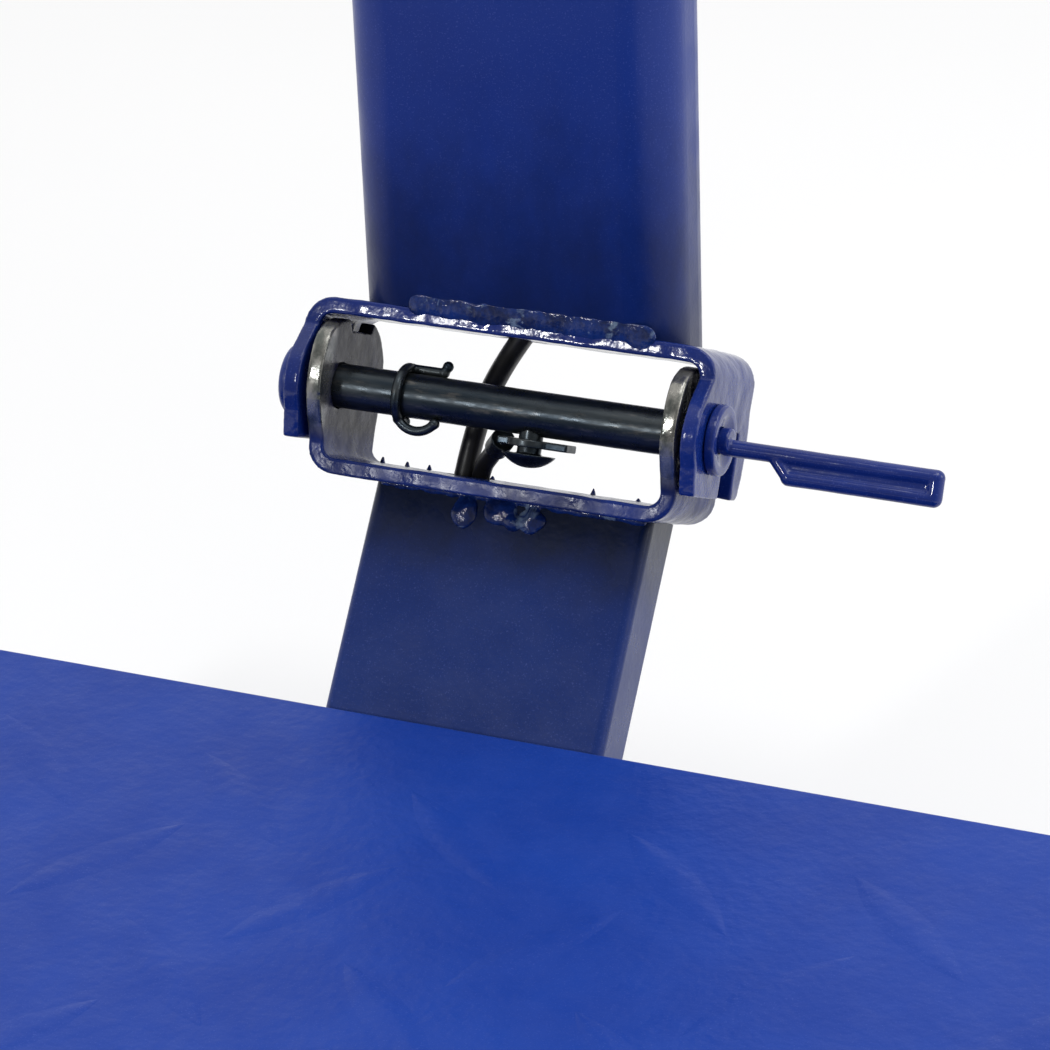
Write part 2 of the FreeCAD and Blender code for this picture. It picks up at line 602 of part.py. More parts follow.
side_names = {-1: "left", 1: "right"}
for sx in (-1, 1):
    for end, y in foot_ys.items():
        x = sx * foot_x
        pad = rod(foot_radius, (x, y, 0), (x, y, foot_pad_low))
        pad = pad.fuse(Part.makeCone(foot_radius, foot_top_radius, foot_pad_top - foot_pad_low,
                                     V(x, y, foot_pad_low)))
        pad = rounded(pad.removeSplitter(), 1.2, lambda e: abs(e.CenterOfMass.z) < 1e-6)
        pad = pad.cut(rod(foot_stud_head, (x, y, 6), (x, y, 13)))
        name = "foot_%s_%s" % (end, side_names[sx])
        save(name + "_pad", pad)
        stud = rod(foot_stud_head, (x, y, 6), (x, y, foot_pad_top))
        stud = stud.fuse(rod(foot_stud, (x, y, foot_pad_top), (x, y, foot_stud_top)))
        save(name + "_stud", stud.removeSplitter())


def hex_nut(x, y, z, across, height, bore):
    reach = across / 3 ** 0.5
    points = [V(x + reach * cos(radians(60 * k)), y + reach * sin(radians(60 * k)), z) for k in range(7)]
    body = Part.Face(Part.makePolygon(points)).extrude(V(0, 0, height))
    return body.cut(rod(bore, (x, y, z - 1), (x, y, z + height + 1)))


save("foot_lock_nuts", [hex_nut(sx * foot_x, y, base_low - nut_height, nut_across, nut_height, stud_bore)
                        for sx in (-1, 1) for y in foot_ys.values()])

# ---- indicator head -----------------------------------------------------------------------
case_half_w, case_half_h, case_half_d = 95.0, 50.0, 22.0
case_wall = 2.5
ear = 3.0                       # head bracket's plate
ear_x = case_half_w + 0.6
gland_x, gland_d, gland_hole = -20.0, 13.5, 5.5
socket_x, socket_radius = 50.0, 5.5
knob_bore, knob_stud = 3.15, 3.1
case_screw_places = [(x, h) for x in (-84, 84) for h in (-39, 39)]
pivot_y = hinge_y - 5.0
pivot_z = column_top + 3 + ear + 108
key_xs = [-60.0 + 30.0 * i for i in range(5)]
key_h, key_radius = -29.0, 7.0


def head_frame(shape):
    """Move a shape drawn about the head's pivot (x, depth, height) to its place."""
    moved = shape.copy()
    moved.rotate(V(0, 0, 0), V(1, 0, 0), -head_tilt)
    moved.translate(V(0, pivot_y, pivot_z))
    return moved


def case_block(inset, corner):
    body = block(-case_half_w + inset, case_half_w - inset, -case_half_d + inset, case_half_d - inset,
                 -case_half_h + inset, case_half_h - inset)
    return body.makeFillet(corner, body.Edges)


def make_front_case():
    body = case_block(0, 6).cut(case_block(case_wall, 3.5)).common(block(-99, 99, -30, 0, -60, 60))
    body = body.cut(block(-64, 64, -30, -case_half_d + 1.6, -4, 40))
    body = body.cut(block(-60, 60, -30, -10, 0, 36))
    for x in key_xs:
        body = body.cut(rod(key_radius + 0.4, (x, -30, key_h), (x, -10, key_h)))
    for sx in (-1, 1):
        body = body.cut(rod(knob_bore, (sx * 80, 0, 0), (sx * 110, 0, 0)))
    return body.removeSplitter()


def make_rear_case():
    body = case_block(0, 6).cut(case_block(case_wall, 3.5)).common(block(-99, 99, 0, 30, -60, 60))
    body = body.cut(block(-52, 52, 10, 30, -30, 30))
    for sx in (-1, 1):
        body = body.cut(rod(knob_bore, (sx * 80, 0, 0), (sx * 110, 0, 0)))
    body = body.cut(rod(gland_hole, (gland_x, gland_d, -60), (gland_x, gland_d, -40)))
    body = body.cut(rod(socket_radius, (socket_x, gland_d, -60), (socket_x, gland_d, -40)))
    for x, h in case_screw_places:
        body = body.cut(rod(2.1, (x, 10, h), (x, 30, h)))
    return body.removeSplitter()


save("indicator_front_case", head_frame(make_front_case()))
save("indicator_rear_case", head_frame(make_rear_case()))
save("display_window", head_frame(block(-63.8, 63.8, -case_half_d + 0.2, -case_half_d + 1.6, -3.8, 39.8)))
save("display_panel", head_frame(block(-56, 56, -18, -13, 2, 34)))
save("circuit_board", head_frame(block(-85, 85, -8, -6.4, -42, 40)))
save("key_mat", head_frame(block(-72, 72, -14, -8, key_h - 9, key_h + 9)))
for i, x in enumerate(key_xs):
    key = rod(key_radius, (x, -case_half_d - 1.8, key_h), (x, -15.4, key_h))
    key = rounded(key, 0.8, lambda e: abs(e.CenterOfMass.y + case_half_d + 1.8) < 1e-6)
    save("key_%d" % (i + 1), head_frame(key))
save("battery", head_frame(block(-45, 45, 0, 18, -19, 32)))
save("battery_cover", head_frame(block(-51.8, 51.8, case_half_d - case_wall, case_half_d, -29.8, 29.8)))
charge_socket = ring(socket_radius, 2.8, (socket_x, gland_d, -52), (socket_x, gland_d, -38))
save("charge_socket", head_frame(charge_socket))
case_screws = []
for x, h in case_screw_places:
    screw = rod(2.0, (x, 12, h), (x, case_half_d, h))
    screw = screw.fuse(rod(3.4, (x, case_half_d, h), (x, case_half_d + 1.6, h)))
    case_screws.append(head_frame(screw.removeSplitter()))
save("case_screws", case_screws)
gland = ring(gland_hole, lead_radius + 0.05, (gland_x, gland_d, -case_half_h), (gland_x, gland_d, -45))
gland = gland.fuse(ring(8.0, lead_radius + 0.05, (gland_x, gland_d, -case_half_h - 7),
                        (gland_x, gland_d, -case_half_h)))
save("cable_gland", head_frame(gland.removeSplitter()))


def head_point(x, v, h):
    """Where (x, depth, height) of the leaning indicator lies."""
    tilt = radians(head_tilt)
    return (x, pivot_y + v * cos(tilt) + h * sin(tilt), pivot_z - v * sin(tilt) + h * cos(tilt))


def make_head_bracket():
    """A bent U: base on the column's cap, an ear up each side of the indicator."""
    low = column_top + 3
    body = block(-ear_x - ear, ear_x + ear, pivot_y - 16, column_mid_y + 13, low, low + ear)
    for sx in (-1, 1):
        x0, x1 = sorted((sx * ear_x, sx * (ear_x + ear)))
        steps = [(pivot_y - 16, low), (column_mid_y + 13, low), (pivot_y + 16, pivot_z - 10),
                 (pivot_y + 13, pivot_z), ((pivot_y, pivot_z + 13), (pivot_y - 13, pivot_z))]
        body = body.fuse(leg(x0, x1, steps))
    body = body.cut(rod(3.2, (-120, pivot_y, pivot_z), (120, pivot_y, pivot_z)))
    x, y = column_cable
    body = body.cut(rod(cable_clear, (x, y, low - 5), (x, y, low + 5)))
    for x in (-30, 30):
        body = body.cut(rod(2.6, (x, column_mid_y, low - 5), (x, column_mid_y, low + 5)))
    return body.removeSplitter()


save("head_bracket", make_head_bracket())
save("bracket_screws", [rod(4.6, (x, column_mid_y, column_top + 6), (x, column_mid_y, column_top + 8.4))
                        for x in (-30, 30)])
for sx in (-1, 1):
    start = sx * (ear_x + ear + 0.1)
    grip = rod(12.0, (start, 0, 0), (start + sx * 13, 0, 0))
    for k in range(8):
        a = radians(45 * k)
        grip = grip.cut(rod(2.4, (start - sx, 13.2 * cos(a), 13.2 * sin(a)),
                            (start + sx * 14, 13.2 * cos(a), 13.2 * sin(a))))
    stud = rod(knob_stud, (sx * (case_half_w - 8), 0, 0), (start, 0, 0))
    save("tilt_knob_%s" % side_names[sx], head_frame(grip.fuse(stud).removeSplitter()))

tail_points = [head_point(gland_x, gland_d, -case_half_h - 7), head_point(gland_x, gland_d, -26.5),
               head_point(gland_x, -6.4, -26.5)]
save("cable_tail", tube_path("cable_tail", lead_radius, tail_points))
cable_head_points = [(column_cable[0], column_cable[1], column_top + 8),
                     (column_cable[0], column_cable[1], column_top + 20),
                     beyond(tail_points[1::-1], 16.5), tail_points[0]]
save("cable_head", tube_path("cable_head", lead_radius, cable_head_points))
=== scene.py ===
import bpy
import bmesh
import json
import math
import random
from mathutils import Matrix, Vector, noise


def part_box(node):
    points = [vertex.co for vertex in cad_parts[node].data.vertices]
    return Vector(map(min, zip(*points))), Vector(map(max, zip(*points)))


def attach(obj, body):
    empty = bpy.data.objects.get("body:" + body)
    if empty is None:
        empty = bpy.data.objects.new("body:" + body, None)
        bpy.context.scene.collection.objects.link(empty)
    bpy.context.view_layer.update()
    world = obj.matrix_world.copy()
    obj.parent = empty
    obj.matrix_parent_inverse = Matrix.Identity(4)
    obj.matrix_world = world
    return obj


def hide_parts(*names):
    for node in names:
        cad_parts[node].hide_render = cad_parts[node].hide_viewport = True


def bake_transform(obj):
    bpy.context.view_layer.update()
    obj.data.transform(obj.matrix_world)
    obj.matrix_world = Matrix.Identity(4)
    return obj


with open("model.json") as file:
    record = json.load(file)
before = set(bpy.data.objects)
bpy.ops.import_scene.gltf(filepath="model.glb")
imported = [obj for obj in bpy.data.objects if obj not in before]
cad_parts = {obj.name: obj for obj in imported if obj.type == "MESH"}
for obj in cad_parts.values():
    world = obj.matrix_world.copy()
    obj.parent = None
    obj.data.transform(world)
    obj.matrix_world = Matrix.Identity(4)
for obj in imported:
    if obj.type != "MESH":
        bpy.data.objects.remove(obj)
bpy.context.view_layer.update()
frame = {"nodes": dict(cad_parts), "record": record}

random.seed(7)
MM = 0.001

# ---- places taken from the frame -----------------------------------------------------------
joints = {j["name"]: j for j in frame["record"]["behaviour"]["joints"]}
hinge = Vector(joints["column_fold"]["pos_m"])
lean = math.radians(27.6)
across = Vector((0, math.cos(lean), -math.sin(lean)))       # along the webs' depth
rise = Vector((0, math.sin(lean), math.cos(lean)))          # square to the webs
body_of = {n: b for b, nodes in frame["record"]["behaviour"]["bodies"].items() for n in nodes}
slot_of = {s["node"]: s["material_slot"] for s in frame["record"]["subparts"]}
platform_low, platform_high = [Vector(c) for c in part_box("platform_cover")]
platform_top = platform_high.z


def hinge_point(x, w, n):
    """(x, depth, height over the shaft) in the leaning hinge frame, in millimetres."""
    return hinge + Vector((x * MM, 0, 0)) + across * (w * MM) + rise * (n * MM)


# ---- materials -----------------------------------------------------------------------------
class Net:
    """A material's node tree with short calls for the nodes used here."""

    def __init__(self, name):
        self.material = bpy.data.materials.new(name)
        self.material.use_nodes = True
        self.nodes = self.material.node_tree.nodes
        self.links = self.material.node_tree.links
        self.shader = self.nodes["Principled BSDF"]
        self.place = self.nodes.new("ShaderNodeTexCoord").outputs["Object"]

    def put(self, value, socket):
        if isinstance(value, bpy.types.NodeSocket):
            self.links.new(value, socket)
        else:
            socket.default_value = value

    def set(self, **values):
        for key, value in values.items():
            self.put(value, self.shader.inputs[key.replace("_", " ")])

    def math(self, kind, a, b=0.0, c=0.0, clamp=False):
        n = self.nodes.new("ShaderNodeMath")
        n.operation, n.use_clamp = kind, clamp
        for i, v in enumerate((a, b, c)):
            self.put(v, n.inputs[i])
        return n.outputs[0]

    def noise(self, scale, detail=3.0, rough=0.5, stretch=(1, 1, 1), distortion=0.0):
        m = self.nodes.new("ShaderNodeMapping")
        m.inputs["Scale"].default_value = stretch
        self.links.new(self.place, m.inputs["Vector"])
        n = self.nodes.new("ShaderNodeTexNoise")
        self.links.new(m.outputs[0], n.inputs["Vector"])
        n.inputs["Scale"].default_value = scale
        n.inputs["Detail"].default_value = detail
        n.inputs["Roughness"].default_value = rough
        n.inputs["Distortion"].default_value = distortion
        return n.outputs["Fac"]

    def ramp(self, value, low, high, out_low=0.0, out_high=1.0):
        n = self.nodes.new("ShaderNodeMapRange")
        n.interpolation_type = "SMOOTHSTEP"
        self.put(value, n.inputs["Value"])
        for key, v in (("From Min", low), ("From Max", high), ("To Min", out_low), ("To Max", out_high)):
            n.inputs[key].default_value = v
        return n.outputs["Result"]

    def mix(self, factor, a, b):
        n = self.nodes.new("ShaderNodeMix")
        n.data_type = "RGBA"
        self.put(factor, n.inputs["Factor"])
        for v, key in ((a, 6), (b, 7)):
            if isinstance(v, tuple):
                n.inputs[key].default_value = (*v, 1.0)
            else:
                self.links.new(v, n.inputs[key])
        return n.outputs[2]

    def axis(self, direction, origin=(0, 0, 0)):
        """The distance along a direction from origin, in metres."""
        sub = self.nodes.new("ShaderNodeVectorMath")
        sub.operation = "SUBTRACT"
        self.links.new(self.place, sub.inputs[0])
        sub.inputs[1].default_value = tuple(origin)
        dot = self.nodes.new("ShaderNodeVectorMath")
        dot.operation = "DOT_PRODUCT"
        self.links.new(sub.outputs[0], dot.inputs[0])
        dot.inputs[1].default_value = tuple(direction)
        return dot.outputs["Value"]

    def bump(self, height, distance, strength=1.0, below=None):
        n = self.nodes.new("ShaderNodeBump")
        n.inputs["Strength"].default_value = strength
        n.inputs["Distance"].default_value = distance
        self.links.new(height, n.inputs["Height"])
        if below is not None:
            self.links.new(below, n.inputs["Normal"])
        return n.outputs["Normal"]

    def edge_wear_and_highlight(self, low, high):
        """Where edges stick out, broken up by noise: paler chipped paint, and a painted highlight on edges
        and crests.
        """
        point = self.nodes.new("ShaderNodeNewGeometry").outputs["Pointiness"]
        ragged = self.math("MULTIPLY_ADD", self.noise(700.0, 4.0, 0.7), 0.06, point)
        return self.ramp(ragged, low, high)


def paint(name, bright, dark, peel=(520.0, 0.00006), rough=(0.26, 0.40), edge_wear_and_highlight_range=None, burn_and_shade=None, gloss=0.25):
    """Powder coat: mottled colour, orange peel, pale chipped edges that also carry a painted highlight and,
    near a weld, a scorched darkening that on the column is also painted shade.
    """
    net = Net(name)
    colour = net.mix(net.ramp(net.noise(26.0, 4.0, 0.6), 0.3, 0.7), dark, bright)
    speck = net.ramp(net.noise(2600.0, 1.0), 0.62, 0.72)
    colour = net.mix(net.math("MULTIPLY", speck, 0.16), colour, (0.16, 0.22, 0.62))
    # Darker towards one end: scorched paint by a weld, and on the column also painted shade towards its
    # foot.
    if burn_and_shade:
        direction, origin, near, far, tone = burn_and_shade
        along = net.axis(direction, origin)
        ragged = net.math("MULTIPLY_ADD", net.noise(60.0, 5.0, 0.65, (1, 1, 0.6)), (far - near) * 0.9, along)
        reach = (far - near) * 0.45
        burn_and_shade_mask = net.ramp(ragged, near + reach, far + reach, 1.0, 0.0)
        colour = net.mix(burn_and_shade_mask, colour, tone)
    roughness = net.ramp(net.noise(90.0, 3.0), 0.3, 0.7, *rough)
    # Pale grey on protruding edges: chipped paint and a painted highlight along the edges.
    if edge_wear_and_highlight_range:
        edge_wear_and_highlight_mask = net.edge_wear_and_highlight(*edge_wear_and_highlight_range)
        colour = net.mix(edge_wear_and_highlight_mask, colour, (0.30, 0.29, 0.36))
    net.set(Base_Color=colour, Roughness=roughness)
    net.shader.inputs["Specular IOR Level"].default_value = gloss
    peel_bump = net.bump(net.noise(peel[0], 2.0, 0.45), peel[1], 1.0)
    net.set(Normal=peel_bump)
    return net.material


BLUE = (0.007, 0.028, 0.200)
ARM_DOWN = Vector((0, -math.sin(math.radians(40.2)), -math.cos(math.radians(40.2))))

plate_paint = paint("tread_paint", (0.010, 0.050, 0.335), (0.008, 0.042, 0.300),
                    (300.0, 0.00030), (0.38, 0.52), gloss=0.2)
# The column's foot is painted darker: scorched paint by the weld and painted shade.
column_paint = paint("column_paint", (0.008, 0.036, 0.255), (0.007, 0.032, 0.235),
                     (800.0, 0.00004), (0.28, 0.38),
                     burn_and_shade=((0, 0, 1), (0, 0, hinge.z + 0.006), 0.0, 0.085, (0.0025, 0.0120, 0.080)))
arm_paint = paint("arm_paint", (0.006, 0.030, 0.180), (0.005, 0.024, 0.150), (600.0, 0.00005), (0.24, 0.34),
                  burn_and_shade=(ARM_DOWN, hinge_point(0, 12, -21), 0.0, 0.024, (0.004, 0.011, 0.036)), gloss=0.3)
bracket_paint = paint("bracket_paint", (0.006, 0.027, 0.215), (0.004, 0.014, 0.110),
                      (420.0, 0.00012), (0.08, 0.18),
                      edge_wear_and_highlight_range=(0.64, 0.72), gloss=0.45)
lever_paint = paint("lever_paint", (0.006, 0.027, 0.215), (0.004, 0.016, 0.140),
                    (300.0, 0.00005), (0.07, 0.16), gloss=0.5)
frame_paint = paint("frame_paint", (0.008, 0.038, 0.250), (0.006, 0.028, 0.190),
                    (480.0, 0.00006), (0.28, 0.40),
                    edge_wear_and_highlight_range=(0.60, 0.70))


def disc_material():
    """The lower bracket: painted blue, but its round legs are not: rims scuffed down to bright steel, outer
    faces of the legs dark grey.
    """
    net = Net("lower_bracket_paint")
    mottled = net.ramp(net.noise(60.0, 4.0, 0.6), 0.3, 0.7)
    blue = net.mix(mottled, (0.004, 0.013, 0.090), BLUE)
    side = net.math("ABSOLUTE", net.axis((1, 0, 0)))
    legs = net.ramp(side, 0.0415, 0.0425)
    above_web = net.ramp(net.axis(rise, hinge), -0.0150, -0.0090)
    worn_face = net.math("MULTIPLY", legs, above_web)
    depth = net.axis(across, hinge)
    ragged = net.math("MULTIPLY_ADD", net.noise(260.0, 4.0, 0.7), 0.0022, depth)
    rim = net.ramp(ragged, -0.0080, -0.0040, 1.0, 0.0)
    blotches = net.ramp(net.noise(90.0, 4.0, 0.6), 0.3, 0.7)
    grey = net.mix(blotches, (0.005, 0.005, 0.008), (0.022, 0.021, 0.032))
    scuffs = net.ramp(net.noise(300.0, 5.0, 0.7, (1, 0.5, 0.5)), 0.35, 0.65)
    steel = net.mix(scuffs, (0.13, 0.14, 0.13), (0.36, 0.35, 0.32))
    unpainted_steel_and_painted_highlight = net.mix(rim, grey, steel)
    net.set(Base_Color=net.mix(worn_face, blue, unpainted_steel_and_painted_highlight))
    net.set(Metallic=net.math("MULTIPLY", net.math("MULTIPLY", worn_face, rim), 0.9))
    net.set(Roughness=net.ramp(net.noise(200.0, 3.0), 0.3, 0.7, 0.14, 0.34))
    net.shader.inputs["Specular IOR Level"].default_value = 0.2
    net.set(Normal=net.bump(net.noise(420.0, 3.0), 0.00012))
    return net.material


def dark_steel():
    """Blackened, oiled steel with long faint streaks and warm grey patches along the shaft that are a
    painted highlight; the shaft's left head is painted over.
    """
    net = Net("black_steel")
    # Painted highlight: long light streaks and warm grey patches stretched along the shaft.
    streak_highlight = net.ramp(net.noise(110.0, 5.0, 0.6, (0.12, 2.0, 2.0)), 0.3, 0.7)
    base = net.mix(streak_highlight, (0.014, 0.024, 0.036), (0.070, 0.080, 0.085))
    warm_grey_highlight = net.ramp(net.noise(300.0, 5.0, 0.7, (0.35, 1.5, 1.5)), 0.52, 0.78)
    base = net.mix(net.math("MULTIPLY", warm_grey_highlight, 0.35), base, (0.34, 0.30, 0.25))
    painted = net.ramp(net.axis((1, 0, 0)), -0.0500, -0.0496, 1.0, 0.0)
    net.set(Base_Color=net.mix(painted, base, BLUE))
    net.set(Metallic=net.ramp(painted, 0.0, 1.0, 0.85, 0.0))
    net.set(Roughness=net.ramp(net.noise(240.0, 4.0), 0.3, 0.7, 0.24, 0.42))
    net.set(Normal=net.bump(net.noise(700.0, 3.0, 0.6, (0.3, 1, 1)), 0.00005))
    return net.material


def bright_steel(name, light, dark, rough):
    net = Net(name)
    brushed = net.ramp(net.noise(300.0, 4.0, 0.6, (1.0, 6.0, 1.0)), 0.3, 0.7)
    net.set(Base_Color=net.mix(brushed, dark, light), Metallic=0.95)
    net.set(Roughness=net.ramp(net.noise(120.0, 3.0), 0.3, 0.7, *rough))
    net.set(Normal=net.bump(net.noise(1200.0, 2.0, 0.5, (1, 8, 1)), 0.00002))
    return net.material


def moulded(name, light, dark, rough, grain=(1500.0, 0.00004)):
    """Rubber, cable jacket or moulded plastic with a fine grain and handling marks."""
    net = Net(name)
    net.set(Base_Color=net.mix(net.ramp(net.noise(70.0, 4.0, 0.6), 0.3, 0.7), dark, light))
    net.set(Roughness=net.ramp(net.noise(160.0, 3.0), 0.3, 0.7, *rough))
    net.set(Normal=net.bump(net.noise(grain[0], 2.0), grain[1]))
    return net.material


def weld_material():
    """Painted-over weld: glossy dark blue with silvery painted highlights on its crests and in patches."""
    net = Net("weld_paint")
    blotches = net.ramp(net.noise(200.0, 5.0, 0.7), 0.35, 0.65)
    base = net.mix(blotches, (0.004, 0.013, 0.070), (0.008, 0.034, 0.190))
    # Painted highlight: silvery grey-teal laid on the crests and in patches.
    crest_highlight = net.edge_wear_and_highlight(0.58, 0.68)
    highlight_patch = net.ramp(net.noise(170.0, 4.0, 0.6, distortion=0.8), 0.58, 0.68)
    unpainted_steel_and_painted_highlight = net.math("MAXIMUM", net.math("MULTIPLY", crest_highlight, 0.5), net.math("MULTIPLY", highlight_patch, 0.60))
    net.set(Base_Color=net.mix(unpainted_steel_and_painted_highlight, base, (0.26, 0.36, 0.48)))
    net.set(Roughness=net.ramp(net.noise(300.0, 3.0), 0.3, 0.7, 0.06, 0.16))
    net.set(Normal=net.bump(net.noise(520.0, 4.0, 0.6), 0.00022))
    return net.material


def glass_material():
    net = Net("window_glass")
    net.set(Base_Color=(0.86, 0.92, 0.90, 1), Roughness=net.ramp(net.noise(40.0, 3.0), 0.3, 0.7, 0.02, 0.09))
    net.set(Transmission_Weight=1.0, IOR=1.45)
    net.set(Normal=net.bump(net.noise(180.0, 2.0), 0.00001))
    return net.material


looks = {
    "blue_paint": frame_paint,
    "black_steel": dark_steel(),
    "weld": weld_material(),
    "zinc_steel": bright_steel("zinc_steel", (0.66, 0.66, 0.62), (0.42, 0.43, 0.44), (0.25, 0.45)),
    "aluminium": bright_steel("milled_aluminium", (0.78, 0.79, 0.80), (0.60, 0.61, 0.63), (0.22, 0.40)),
    "rubber": moulded("black_rubber", (0.028, 0.028, 0.030), (0.012, 0.012, 0.013), (0.55, 0.80)),
    "cable_jacket": moulded("cable_jacket", (0.022, 0.022, 0.025), (0.009, 0.009, 0.010),
                            (0.30, 0.50), (900.0, 0.00003)),
    "black_plastic": moulded("black_plastic", (0.030, 0.030, 0.033), (0.016, 0.016, 0.018), (0.35, 0.55)),
    "head_plastic": moulded("head_plastic", (0.48, 0.49, 0.49), (0.45, 0.46, 0.465),
                            (0.42, 0.54), (1900.0, 0.00005)),
    "key_plastic": moulded("key_plastic", (0.030, 0.060, 0.230), (0.020, 0.040, 0.170), (0.32, 0.48)),
    "battery_case": moulded("battery_case", (0.050, 0.050, 0.055), (0.030, 0.030, 0.034), (0.35, 0.55)),
    "window": glass_material(),
    "display": moulded("display_glass", (0.30, 0.36, 0.25), (0.25, 0.31, 0.21),
                       (0.10, 0.22), (300.0, 0.00001)),
    "board": moulded("solder_mask", (0.020, 0.150, 0.055), (0.010, 0.090, 0.035), (0.25, 0.42)),
}
special = {
    "platform_cover": plate_paint, "column_tube": column_paint, "column_arm": arm_paint,
    "hinge_upper_bracket": bracket_paint, "hinge_lower_bracket": disc_material(),
    "lock_lever": lever_paint, "lever_boss": lever_paint, "head_bracket": frame_paint,
}
for name, node in frame["nodes"].items():
    look = special.get(name, looks[slot_of[name]])
    if not node.material_slots:
        node.data.materials.append(look)
    for slot in node.material_slots:
        slot.material = look


# ---- mesh helpers --------------------------------------------------------------------------
def finish_piece(obj, name, body, look, smooth=True):
    obj.name = name
    obj.data.materials.clear()
    obj.data.materials.append(look)
    for polygon in obj.data.polygons:
        polygon.use_smooth = smooth
    if body:
        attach(obj, body)
    return obj


def new_object(name, mesh):
    obj = bpy.data.objects.new(name, mesh)
    bpy.context.scene.collection.objects.link(obj)
    return obj


def softened(node_name, voxel, smooth=6, wobble=0.0, wobble_scale=160.0, extra=()):
    """A CAD node's shape with its edges rounded off and a slightly uneven painted surface."""
    node = frame["nodes"][node_name]
    mesh = node.data.copy()
    if extra:
        work = bmesh.new()
        work.from_mesh(mesh)
        for other in extra:
            work.from_mesh(other)
        work.to_mesh(mesh)
        work.free()
    obj = new_object(node_name + "_soft", mesh)
    remesh = obj.modifiers.new("remesh", "REMESH")
    remesh.mode, remesh.voxel_size = "VOXEL", voxel
    ease = obj.modifiers.new("ease", "SMOOTH")
    ease.factor, ease.iterations = 0.5, smooth
    bpy.context.view_layer.update()
    shaped = bpy.data.meshes.new_from_object(obj.evaluated_get(bpy.context.evaluated_depsgraph_get()))
    obj.modifiers.clear()
    obj.data = shaped
    if wobble:
        normals = [v.normal.copy() for v in shaped.vertices]
        for vertex, normal in zip(shaped.vertices, normals):
            vertex.co += normal * (wobble * noise.noise(vertex.co * wobble_scale))
    finish_piece(obj, node_name + "_soft", body_of[node_name],
                 special.get(node_name, looks[slot_of[node_name]]))
    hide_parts(node_name)
    return obj


def tube(name, points, radius, sides=20, per_run=10):
    """A smooth tube along a NURBS spline through the route's points."""
    curve = bpy.data.curves.new(name, "CURVE")
    curve.dimensions = "3D"
    spline = curve.splines.new("NURBS")
    spline.points.add(len(points) - 1)
    for point, place in zip(spline.points, points):
        point.co = (*place, 1.0)
    spline.order_u = 3
    spline.use_endpoint_u = True
    spline.resolution_u = per_run
    curve.bevel_depth = radius
    curve.bevel_resolution = sides // 4
    curve.use_fill_caps = True
    holder = new_object(name, curve)
    bpy.context.view_layer.update()
    mesh = bpy.data.meshes.new_from_object(holder.evaluated_get(bpy.context.evaluated_depsgraph_get()))
    bpy.data.objects.remove(holder)
    return new_object(name, mesh)


# ---- hinge ---------------------------------------------------------------------------------
softened("hinge_upper_bracket", 0.00042, 5, 0.00016, 210.0)
softened("hinge_lower_bracket", 0.00042, 5, 0.00014, 190.0)
softened("lever_boss", 0.00025, 4)
softened("lock_lever", 0.00026, 5, 0.00012, 120.0)
softened("hinge_shaft", 0.00040, 4)
softened("spring_clip", 0.00022, 4)
softened("earth_screw", 0.00024, 3)
softened("earth_lug", 0.00024, 3)


# ---- welds ---------------------------------------------------------------------------------
ARM_LEAN = math.radians(40.2)
arm_back = Vector((0, math.cos(ARM_LEAN), -math.sin(ARM_LEAN)))
arm_face = hinge_point(0, 12.0, -21.0)


def remeshed(obj, voxel, smooth):
    """obj's own mesh fused to one skin of even faces and eased."""
    remesh = obj.modifiers.new("remesh", "REMESH")
    remesh.mode, remesh.voxel_size = "VOXEL", voxel
    ease = obj.modifiers.new("ease", "SMOOTH")
    ease.factor, ease.iterations = 0.5, smooth
    bpy.context.view_layer.update()
    shaped = bpy.data.meshes.new_from_object(obj.evaluated_get(bpy.context.evaluated_depsgraph_get()))
    obj.modifiers.clear()
    obj.data = shaped
    return shaped


def roughened(mesh, amount, scale):
    normals = [v.normal.copy() for v in mesh.vertices]
    for vertex, normal in zip(mesh.vertices, normals):
        vertex.co += normal * (amount * noise.noise(vertex.co * scale))


def upper_bead():
    """The fillet weld along the column's foot: a rippled closed ribbon on the web's front edge."""
    work = bmesh.new()
    rows, count, around = [], 260, 18
    start, end = -25.5, 36.0
    for i in range(count + 1):
        x = start + (end - start) * i / count
        fade = min(1.0, (x - start) / 2.5, (end - x) / 2.5)
        fade = math.sqrt(max(fade, 0.0))
        wave = noise.noise(Vector((x * 0.23, 3.1, 0.0))) + 0.6 * noise.noise(Vector((x * 0.62, 8.4, 0.0)))
        low = Vector((-5.9, 18.5 - 0.5 * wave - (1.9 * max(0.0, 1 - abs(x - 32.5) / 3.5))))
        high = Vector((-7.9, 23.9 + 0.9 * noise.noise(Vector((x * 0.17, 0.4, 5.0)))))
        ripple = 0.16 * math.sin(x * 3.7 + 2.0 * noise.noise(Vector((x * 0.3, 9.0, 1.0))))
        bulge = Vector((-7.4 - 0.35 * wave - 0.6 * ripple, 20.3 + 0.2 * wave))
        middle = (low + high) / 2
        low, high, bulge = [middle + (q - middle) * (0.25 + 0.75 * fade) for q in (low, high, bulge)]
        row = []
        for k in range(around + 1):
            t = k / around
            q = low * (1 - t) ** 2 + bulge * (2 * t * (1 - t)) + high * t * t
            row.append(work.verts.new(hinge_point(x, q.x, q.y)))
        row.append(work.verts.new(hinge_point(x, -5.2, 21.0)))
        rows.append(row)
    size = around + 2
    for a, b in zip(rows, rows[1:]):
        for k in range(size):
            work.faces.new((a[k], b[k], b[(k + 1) % size], a[(k + 1) % size]))
    work.faces.new(rows[0])
    work.faces.new(list(reversed(rows[-1])))
    bmesh.ops.recalc_face_normals(work, faces=work.faces)
    mesh = bpy.data.meshes.new("upper_bead")
    work.to_mesh(mesh)
    work.free()
    obj = new_object("upper_bead", mesh)
    roughened(remeshed(obj, 0.00026, 3), 0.00012, 360.0)
    finish_piece(obj, "upper_weld_bead", "column", looks["weld"])
    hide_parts("upper_weld")


